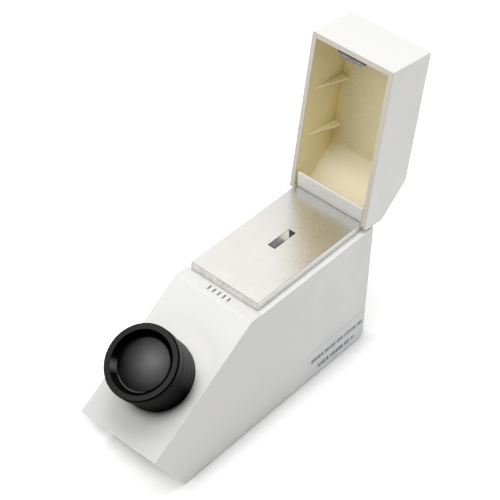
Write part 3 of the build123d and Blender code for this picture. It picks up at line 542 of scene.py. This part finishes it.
def lid_depth(paint, place, limits, half_w):
    """How far a point of the closed lid lies inside its skin: above nought in the hollow."""
    x, y, z = place
    y0, y1, z0, z1 = limits
    bevel_rise = (z1 - z0 - LID_BACK_H) / LID_BEVEL_L
    slant = paint.plus(paint.times(y, bevel_rise), z)
    slant_limit = y1 * bevel_rise + z0 + LID_BACK_H - LID_SKIN * math.hypot(1.0, bevel_rise)
    return paint.least(
        paint.minus(half_w - LID_SKIN, paint.unsigned(x)),
        paint.minus(y, y0 + LID_SKIN),
        paint.minus(y1 - LID_SKIN, y),
        paint.minus(z1 - LID_SKIN, z),
        paint.minus(slant_limit, slant),
    )


def lid_cream(paint, place, limits, half_w):
    """Bare cream plastic with painted light and shade: a lit bevel, walls lit near the bevel and shaded
    beyond it, a roof shaded left and lit right, shaded corners and top, lit ribs, and darker specks.
    """
    x, y, z = place
    _, y1, _, z1 = limits
    side_gap = paint.minus(half_w - LID_WALL, paint.unsigned(x))
    roof_gap = paint.minus(z1 - LID_WALL, z)
    from_back = paint.minus(y1, y)
    # painted light on the bevel and painted shade beyond it, on the roof and walls
    far = paint.fit(from_back, *(share * LID_BEVEL_L for share in LID_FAR_SHARES))
    roof = paint.mix(paint.fit(x, *(share * half_w for share in LID_ROOF_SHARES)), CREAM_ROOF_SHADE, CREAM_ROOF_LIT)
    middle = paint.mix(far, CREAM_BEVEL_LIT, roof)
    wall = paint.mix(far, CREAM_WALL_LIT, CREAM_WALL_SHADE_AND_SPECKS)
    cream = paint.mix(paint.fit(side_gap, 0.0, LID_WALL_BLEND), wall, middle)
    # painted shade in the corners between wall and roof
    near_side = paint.fit(side_gap, LID_CORNER_SHADE_REACH, 0.0)
    near_roof = paint.fit(roof_gap, LID_CORNER_SHADE_REACH, 0.0)
    cream = paint.mix(paint.times(near_side, near_roof, far), cream, CREAM_CORNER_SHADE)
    # painted shade towards the lid's top
    cream = paint.mix(paint.fit(from_back, *LID_TOP_FROM_BACK, 0.0, LID_TOP_SHADE_DEPTH), cream, CREAM_TOP_SHADE)
    off_roof = paint.under(z, z1 - LID_WALL - RIB_OFF_ROOF)
    off_shell = paint.times(off_roof, paint.over(side_gap, RIB_OFF_WALL))
    # painted light on the ribs
    for rib_place in RIB_PLACES:
        near = paint.under(paint.unsigned(paint.minus(from_back, rib_place)), RIB_T)
        cream = paint.mix(paint.times(near, off_shell), cream, CREAM_RIB_LIT)
    return paint.mix(paint.pattern(SPECKS, 3.0, to=(0.0, LID_SPECK_DEPTH)), cream, CREAM_WALL_SHADE_AND_SPECKS)


def two_tone_lid():
    """Warm white outside with painted shade on the far end face, cream inside and beige on the cut rim."""
    paint = moulded("lid_two_tone_plastic", LID_WHITE, LID_SHADE, 0.42)
    place = lid_closed_place(paint)
    limits = closed_lid_box()
    half_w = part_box("lid_shell")[1].x
    y0, _, z0, _ = limits
    in_hollow = paint.over(lid_depth(paint, place, limits, half_w), 0.0)
    cream = lid_cream(paint, place, limits, half_w)
    _, y, z = place
    # painted shade on the far end face
    outside = paint.mix(paint.under(y, y0 + LID_END_SKIN), paint.painted(), LID_END_SHADE)
    body = paint.mix(in_hollow, outside, cream)
    paint.colour(paint.mix(paint.under(z, z0 + LID_RIM_H), body, RIM_BEIGE))
    return paint.material


# ---- metals --------------------------------------------------------------------------------------
def brushed(name, colour, shade, rough, stretch, grain=METAL_GRAIN, **sockets):
    """Metal with a fine drawn or ground grain."""
    paint = Paint(name, Metallic=1.0, **sockets)
    lines = paint.noise(grain, 3.0, stretch)
    paint.colour(paint.mix(paint.fit(lines, *WIDE), colour, shade))
    gloss = (rough - METAL_GLOSS_SPREAD, rough + METAL_GLOSS_SPREAD)
    paint.roughness(paint.pattern(grain * METAL_GLOSS_SHARE, to=gloss, stretch=stretch))
    paint.bump(lines, METAL_DEPTH)
    return paint.material


def stage_steel():
    """Bead-blasted stainless steel: fine sparkle over a soft sheen, with smeared and broken edges; painted
    shade at the rear, on the flanks, on the broken front edge and at the foot.
    """
    paint = Paint("blasted_stainless", Metallic=1.0)
    grain = paint.noise(BLAST_GRAIN, 3.0)
    x, y, z = paint.axes()
    low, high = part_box("stage_plate")
    tone = paint.mix(paint.fit(grain, *SHARP), STEEL, STEEL_SPARKLE)
    tone = paint.mix(paint.pattern(BLAST_CLOUDS, 3.0, NARROW, (0.0, STAGE_CLOUD_DEPTH)), tone, STEEL_CLOUD)
    # painted shade: cooler and darker towards the rear
    tone = paint.mix(paint.fit(y, high.y - STAGE_REAR_SHADE_L, high.y), tone, STEEL_REAR_SHADE)
    smear = paint.pattern(SMEARS, 3.0, NARROW, stretch=SMEARED_UP)
    front = paint.mix(smear, STEEL_FRONT, STEEL_SMEAR)
    tone = paint.mix(paint.under(y, low.y + STAGE_FACE_SKIN), tone, front)
    # painted shade on the flanks
    on_flank = paint.over(paint.unsigned(x), high.x - STAGE_FACE_SKIN)
    tone = paint.mix(on_flank, tone, STEEL_FLANK_SHADE)
    # painted shade on the broken front edge
    at_break = paint.times(paint.under(y, low.y + BREAK_W), paint.under(z, high.z - BREAK_TOP),
                           paint.over(z, high.z - BREAK_H))
    tone = paint.mix(at_break, tone, STEEL_BREAK_SHADE)
    # painted shade at the foot, where the plate meets the case
    above, below = STAGE_FOOT_SHADE_H
    paint.colour(paint.mix(paint.fit(z, low.z + above, low.z + below), tone, STEEL_FOOT_SHADE))
    paint.roughness(paint.fit(grain, *WIDE, *BLAST_GLOSS))
    paint.bump(grain, METAL_DEPTH)
    return paint.material


# ---- eyepiece ------------------------------------------------------------------------------------
def turned_black(name, ends=(), rough=0.36):
    """Black anodised flank: painted shade deepest at its foot by the slope, turned bands and a soft painted
    sheen on its upper right.
    """
    paint = Paint(name, IOR=1.05, Specular_IOR_Level=0.06)
    around = AroundEyepiece(paint)
    first, last = FLANK_LIT
    # painted sheen on the flank's upper right
    lit = paint.plus(paint.times(around.side, FLANK_LEAN), around.up)
    sheen = paint.power(paint.fit(lit, first * RING_R, last * RING_R), FLANK_CURVE)
    level = paint.add("CombineXYZ", X=around.out).outputs[0]
    sheen = paint.times(sheen, paint.pattern(TURNED_BANDS, span=NARROW, to=BAND_LEVELS, where=level))
    for full, faded in ends:
        sheen = paint.times(sheen, paint.fit(around.out, full, faded, 1.0, END_SHEEN))
    # painted shade, darkest at the foot by the slope
    base = paint.mix(paint.fit(around.out, FOCUS_FOOT, FOCUS_TOP), FLANK_BLACK, FLANK_TOP_LIT)
    paint.colour(paint.mix(sheen, base, FLANK_SHEEN))
    gloss = (rough - METAL_GLOSS_SPREAD, rough + METAL_GLOSS_SPREAD)
    paint.roughness(paint.pattern(TURNED_GLOSS, to=gloss))
    return paint, around


def front_ring_black():
    """Front ring: turned flank, front face with a painted sheen across it and a dark outline, and a painted
    glint inside its mouth.
    """
    paint, around = turned_black("front_ring_black", RING_ENDS)
    flank = paint.mix(paint.fit(around.out, *FLANK_LINE_FROM), paint.painted(), FLANK_BLACK)
    # painted sheen across the front face, with random patches
    across = paint.fit(paint.plus(around.up, around.side), -RING_R, RING_R)
    patchy_sheen = paint.plus(across, paint.pattern(FACE_PATCHES, 4.0, to=FACE_MOTTLE))
    face = paint.mix(patchy_sheen, FACE_BLACK, FACE_SHEEN)
    face = paint.mix(paint.fit(around.radius, *FACE_LINE_FROM), face, LINE_BLACK)
    # painted glint inside the mouth
    glint = paint.power(paint.fit(around.towards(GLINT_WAY), *GLINT_SPREAD), GLINT_CURVE)
    mouth = paint.mix(glint, MOUTH_BLACK, MOUTH_GLINT)
    # painted dim shine on the lower wall of the mouth
    lower = paint.fit(around.towards(LOWER_SHINE_WAY), *LOWER_SHINE_SPREAD, 0.0, LOWER_SHINE_DEPTH)
    mouth = paint.mix(lower, mouth, DIM_SHINE)
    outer = paint.mix(paint.fit(around.out, *FACE_FROM), flank, face)
    paint.colour(paint.mix(paint.under(around.radius, MOUTH_R), outer, mouth))
    return paint.material


def retainer_black():
    """Thin retaining ring with a patchy painted shine at its foot."""
    paint = Paint("retainer_black", IOR=1.05)
    around = AroundEyepiece(paint)
    shine = paint.fit(around.towards(RETAINER_WAY), *RETAINER_SPREAD)
    patchy_sheen = paint.pattern(RETAINER_PATCHES, 3.0, to=RETAINER_PATCH_SPAN)
    paint.colour(paint.mix(paint.times(shine, patchy_sheen), LINE_BLACK, DIM_SHINE))
    paint.roughness(paint.fit(patchy_sheen, *RETAINER_PATCH_SPAN, *RETAINER_GLOSS))
    return paint.material


def dark_glass():
    """Near-black polarising glass with a painted reflection, a soft bright patch towards its upper right."""
    paint = Paint("polarising_glass", IOR=1.12)
    around = AroundEyepiece(paint)
    # painted reflection, brightest at its middle
    from_reflection = paint.length(paint.minus(around.side, REFLECTION_SIDE), paint.minus(around.up, REFLECTION_UP))
    reflection = paint.power(paint.fit(from_reflection, *REFLECTION_REACH), REFLECTION_CURVE)
    reflection = paint.plus(reflection, paint.pattern(GLASS_PATCHES, 3.0, to=REFLECTION_MOTTLE))
    paint.colour(paint.mix(reflection, GLASS_BLACK, GLASS_REFLECTION))
    paint.roughness(paint.pattern(GLASS_GLOSS_PATCHES, to=GLASS_GLOSS))
    return paint.material


# ---- glass ---------------------------------------------------------------------------------------
def window_glass():
    """Ground prism: a frosted part with a dark rim, a clear slanting band painted bright as a painted
    reflection, and the dark part beyond it.
    """
    paint = Paint("dense_prism_glass", IOR=1.8, Specular_IOR_Level=0.32, Coat_Weight=0.1, Coat_Roughness=0.05)
    x, y, _ = paint.axes()
    low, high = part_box("prism")
    front_y = (low.y + high.y) / 2 - WINDOW_L / 2
    along = paint.fit(y, front_y, front_y + WINDOW_L)
    sideways = paint.fit(x, -WINDOW_W / 2, WINDOW_W / 2)
    frost_end = paint.minus(FROST_END, paint.times(sideways, FROST_SLANT))
    clear_end = paint.minus(CLEAR_END, paint.times(sideways, CLEAR_SLANT))
    grain = paint.pattern(PRISM_GRAIN, 3.0, NARROW)
    frost = paint.mix(paint.fit(along, *FROST_FADE), paint.mix(grain, FROST_DARK, FROST_DARK_GRAIN),
                      paint.mix(grain, FROST_PALE, FROST_PALE_GRAIN))
    # painted reflection in the clear band
    clear = paint.mix(paint.fit(along, *CLEAR_FADE), CLEAR_REFLECTION_DIM, CLEAR_REFLECTION_BRIGHT)
    past_frost = paint.fit(paint.minus(along, frost_end), *FROST_BLUR)
    past_clear = paint.fit(paint.minus(along, clear_end), *CLEAR_BLUR)
    shown = paint.mix(past_clear, paint.mix(past_frost, frost, clear), PRISM_DARK)
    from_edge = paint.least(paint.minus(y, front_y), paint.minus(WINDOW_W / 2, x))
    rim = paint.fit(from_edge, *WINDOW_RIM, 0.0, WINDOW_RIM_DEPTH)
    off_clear = paint.minus(1.0, paint.minus(past_frost, past_clear))
    paint.colour(paint.mix(paint.times(rim, off_clear), shown, PRISM_RIM))
    paint.roughness(paint.fit(grain, 0.0, 1.0, *PRISM_GLOSS))
    return paint.material


def clear_glass(name, tint, shade, rough=0.04):
    """Clear or tinted glass with an uneven polish."""
    paint = Paint(name, IOR=1.52, Transmission_Weight=1.0)
    paint.colour(paint.mix(paint.pattern(CLEAR_PATCHES, 3.0, NARROW), tint, shade))
    paint.roughness(paint.pattern(CLEAR_GLOSS_PATCHES, to=(rough * 0.5, rough * 1.5)))
    return paint.material


# ---- one material for each slot of the record ----------------------------------------------------
MATERIALS = {
    "white_plastic": white_housing(),
    "lid_plastic": two_tone_lid(),
    "block_plastic": cast("hinge_block_plastic", (0.69, 0.68, 0.64), (0.65, 0.64, 0.60), 0.34),
    "base_plastic": cast("dark_base_plastic", (0.030, 0.030, 0.032), (0.045, 0.045, 0.047), 0.5),
    "rubber": cast("black_rubber", (0.012, 0.012, 0.012), (0.022, 0.022, 0.021), 0.75),
    "stainless": stage_steel(),
    "steel": brushed("drawn_steel", (0.56, 0.56, 0.57), (0.45, 0.45, 0.46), 0.30, DRAWN_UP),
    "prism_glass": window_glass(),
    "lens_glass": clear_glass("lens_glass", (0.95, 0.97, 0.96), (0.92, 0.95, 0.95)),
    "polariser_glass": dark_glass(),
    "mirror": brushed("silvered_mirror", (0.92, 0.92, 0.93), (0.88, 0.88, 0.90), 0.08, EVEN),
    "aluminium": brushed("milled_aluminium", (0.62, 0.62, 0.63), (0.52, 0.52, 0.53), 0.38, DRAWN_ACROSS),
    "black_satin": moulded("black_satin", SATIN_BLACK, SATIN_SHADE, 0.33, METAL_GRAIN,
                           METAL_DEPTH).material,
    "yellow_glass": clear_glass("yellow_filter_glass", (0.95, 0.62, 0.05), (0.88, 0.54, 0.03)),
    "opal_glass": clear_glass("opal_glass", (0.92, 0.91, 0.88), (0.86, 0.86, 0.83), rough=0.4),
    "board": cast("green_solder_mask", (0.012, 0.11, 0.04), (0.02, 0.16, 0.06), 0.35),
    "led_epoxy": cast("led_epoxy", (0.85, 0.62, 0.16), (0.78, 0.52, 0.10), 0.15),
    "cell_jacket": cast("cell_jacket", (0.03, 0.07, 0.20), (0.04, 0.09, 0.26), 0.28),
    "magnet_plating": brushed("nickel_plating", (0.34, 0.345, 0.36), (0.12, 0.125, 0.14), 0.45, EVEN,
                              PLATING_GRAIN),
    "label": cast("label_foil", (0.68, 0.685, 0.697), (0.645, 0.65, 0.665), 0.36),
}

# nodes whose look differs from the rest of their slot; the keeper behind the brow's slots is given a faint
# glow, painted light, so the slots look paler
OWN_MATERIALS = {
    "lid_keeper": brushed("zinc_plate_painted_glow", (0.80, 0.80, 0.79), (0.70, 0.70, 0.69), 0.45, DRAWN_ALONG,
                          Emission_Color=FULL_WHITE, Emission_Strength=0.30),
    "polariser_ring": front_ring_black(),
    "polariser_retainer": retainer_black(),
    "focus_ring": turned_black("focus_ring_black", FOCUS_ENDS, 0.42)[0].material,
    "eyepiece_mount": turned_black("mount_black")[0].material,
}


def dress():
    """Gives every CAD node its own material, or the one of its slot in the record."""
    for entry in frame["record"]["subparts"]:
        node = entry["node"]
        material = OWN_MATERIALS.get(node) or MATERIALS[entry["material_slot"]]
        for slot in NODES[node].material_slots:
            slot.material = material


# ---- label ---------------------------------------------------------------------------------------
def dash_row(rng, start, end):
    """Dashes of uneven width, grouped like words, between two places in millimetres."""
    dashes = []
    place = start
    left = rng.randint(*WORD_DASHES)
    while place < end:
        width = min(rng.uniform(*DASH_W), end - place)
        dashes.append((place, place + width))
        left -= 1
        place += width + (DASH_GAP if left else WORD_GAP)
        if not left:
            left = rng.randint(*WORD_DASHES)
    return dashes


def label_bars():
    """Two rows of plain dashes in place of print."""
    low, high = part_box("rating_label")
    rng = random.Random(LABEL_SEED)
    mesh = bpy.data.meshes.new("label_bars")
    form = bmesh.new()
    length = (high.y - low.y) / MM
    for share, start, end in LABEL_ROWS:
        z = low.z + share * (high.z - low.z)
        for first, last in dash_row(rng, start * length, end * length):
            centre = Vector((high.x + BAR_T / 2, low.y + (first + last) / 2 * MM, z))
            size = Matrix.Diagonal((BAR_T, (last - first) * MM, BAR_H, 1.0))
            bmesh.ops.create_cube(form, size=1.0, matrix=Matrix.Translation(centre) @ size)
    form.to_mesh(mesh)
    form.free()
    bars = bpy.data.objects.new("label_bars", mesh)
    bpy.context.scene.collection.objects.link(bars)
    mesh.materials.append(cast("label_ink", (0.04, 0.04, 0.042), (0.07, 0.07, 0.074), 0.6))
    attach(bars, "housing")


# ---- studio --------------------------------------------------------------------------------------
def camera():
    """Camera at the viewing angle, rolled slightly."""
    azimuth = math.radians(VIEW_AZIMUTH)
    elevation = math.radians(VIEW_ELEVATION)
    roll = math.radians(VIEW_ROLL)
    level = math.cos(elevation)
    back = Vector((math.sin(azimuth) * level, -math.cos(azimuth) * level, math.sin(elevation)))
    right = (-back).cross(Vector((0.0, 0.0, 1.0))).normalized()
    up = right.cross(-back)
    turned_right = math.cos(roll) * right + math.sin(roll) * up
    turned_up = -math.sin(roll) * right + math.cos(roll) * up
    data = bpy.data.cameras.new("camera")
    data.lens = VIEW_LENS
    item = bpy.data.objects.new("camera", data)
    low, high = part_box("stage_plate")
    aim = Vector(((low.x + high.x) / 2, (low.y + high.y) / 2, high.z)) + VIEW_AIM_FROM_STAGE
    place = aim + VIEW_DISTANCE * back
    axes = Matrix((turned_right, turned_up, back)).transposed().to_4x4()
    item.matrix_world = Matrix.Translation(place) @ axes
    bpy.context.scene.collection.objects.link(item)
    bpy.context.scene.camera = item


def softbox(name, place, aim, width, height, power):
    """Rectangular light that faces a point."""
    data = bpy.data.lights.new(name, "AREA")
    data.shape = "RECTANGLE"
    data.size = width
    data.size_y = height
    data.energy = power
    item = bpy.data.objects.new(name, data)
    item.location = place
    item.rotation_euler = (Vector(aim) - Vector(place)).to_track_quat("-Z", "Y").to_euler()
    bpy.context.scene.collection.objects.link(item)


def world():
    """White surround, brighter overhead and from the left."""
    surround = bpy.data.worlds.new("surround")
    surround.use_nodes = True
    tree = surround.node_tree
    background = tree.nodes["Background"]
    where = tree.nodes.new("ShaderNodeTexCoord")
    axes = tree.nodes.new("ShaderNodeSeparateXYZ")
    both = tree.nodes.new("ShaderNodeMath")
    both.operation = "MULTIPLY"
    tree.links.new(where.outputs["Generated"], axes.inputs[0])
    for index, axis, places, levels in ((0, "Z", SURROUND_HEIGHTS, SURROUND_AT_HEIGHTS),
                                        (1, "X", SURROUND_SIDES, SURROUND_AT_SIDES)):
        ramp = tree.nodes.new("ShaderNodeMapRange")
        tree.links.new(axes.outputs[axis], ramp.inputs[0])
        for socket, number in enumerate((*places, *levels), start=1):
            ramp.inputs[socket].default_value = number
        tree.links.new(ramp.outputs[0], both.inputs[index])
    tree.links.new(both.outputs[0], background.inputs["Strength"])
    background.inputs["Color"].default_value = FULL_WHITE
    bpy.context.scene.world = surround


def open_floor(paint, x, y, past_front):
    """One on the open floor, less in the shade beside the base plate and under the nose."""
    low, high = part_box("base_plate")
    case_low, case_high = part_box("housing")
    past_edge = paint.math("MAXIMUM", paint.minus(paint.unsigned(x), high.x), paint.minus(y, high.y))
    clear = paint.power(paint.fit(past_edge, 0.0, CONTACT_W), CONTACT_CURVE)
    depth = paint.fit(past_front, -CONTACT_FADE, 0.0, CONTACT_DEPTH, 0.0)
    contact = paint.times(paint.minus(1.0, clear), depth)
    left = [case_low.x + gap for gap in NOSE_SHADE_LEFT]
    eased = [case_low.x + gap for gap in NOSE_SHADE_EASE]
    under_nose = paint.times(
        paint.power(paint.fit(past_front, NOSE_SHADE_W, 0.0), NOSE_SHADE_CURVE),
        paint.fit(past_front, -NOSE_SHADE_BACK, 0.0),
        paint.fit(x, *left),
        paint.fit(x, *eased, 1.0, NOSE_SHADE_EASED),
        paint.fit(x, case_high.x + NOSE_SHADE_RIGHT, NOSE_SHADE_FULL_X),
    )
    return paint.minus(1.0, paint.math("MAXIMUM", contact, under_nose))


def floor_paper():
    """Pale paper that glows a little where nothing stands over it."""
    paint = Paint("floor_paper", Roughness=0.9, Emission_Color=FULL_WHITE)
    x, y, _ = paint.axes()
    low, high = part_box("housing")
    spots = [vertex.co for vertex in NODES["housing"].data.vertices]
    foot_y = min(spot.y for spot in spots if spot.z < low.z + FOOT_SKIN)
    past_front = paint.minus(foot_y, y)
    clear = open_floor(paint, x, y, past_front)
    paper = paint.mix(paint.pattern(PAPER_PATCHES, 3.0), PAPER, PAPER_PALE)
    paint.colour(paint.mix(clear, PAPER_SHADE, paper))
    lift = paint.times(
        paint.fit(past_front, *NOSE_LIFT_FROM, 0.0, NOSE_LIFT),
        paint.fit(y, *(low.y + gap for gap in NOSE_LIFT_TIP)),
        paint.fit(paint.unsigned(x), high.x + NOSE_LIFT_SIDE, high.x - NOSE_LIFT_SIDE),
    )
    paint.feed(paint.shader.inputs["Emission Strength"], paint.plus(paint.times(clear, FLOOR_GLOW), lift))
    return paint.material


def floor():
    """Plain pale floor under the feet."""
    mesh = bpy.data.meshes.new("floor")
    corners = [(-FLOOR_HALF, -FLOOR_HALF, 0.0), (FLOOR_HALF, -FLOOR_HALF, 0.0),
               (FLOOR_HALF, FLOOR_HALF, 0.0), (-FLOOR_HALF, FLOOR_HALF, 0.0)]
    mesh.from_pydata(corners, [], [(0, 1, 2, 3)])
    item = bpy.data.objects.new("floor", mesh)
    bpy.context.scene.collection.objects.link(item)
    mesh.materials.append(floor_paper())


def studio():
    """Surround, floor, camera and two softboxes."""
    world()
    floor()
    camera()
    softbox("top_light", **TOP_LIGHT)
    softbox("front_light", **FRONT_LIGHT)
    bpy.context.scene.view_settings.view_transform = "Standard"


dress()
label_bars()
studio()
bpy.context.view_layer.update()
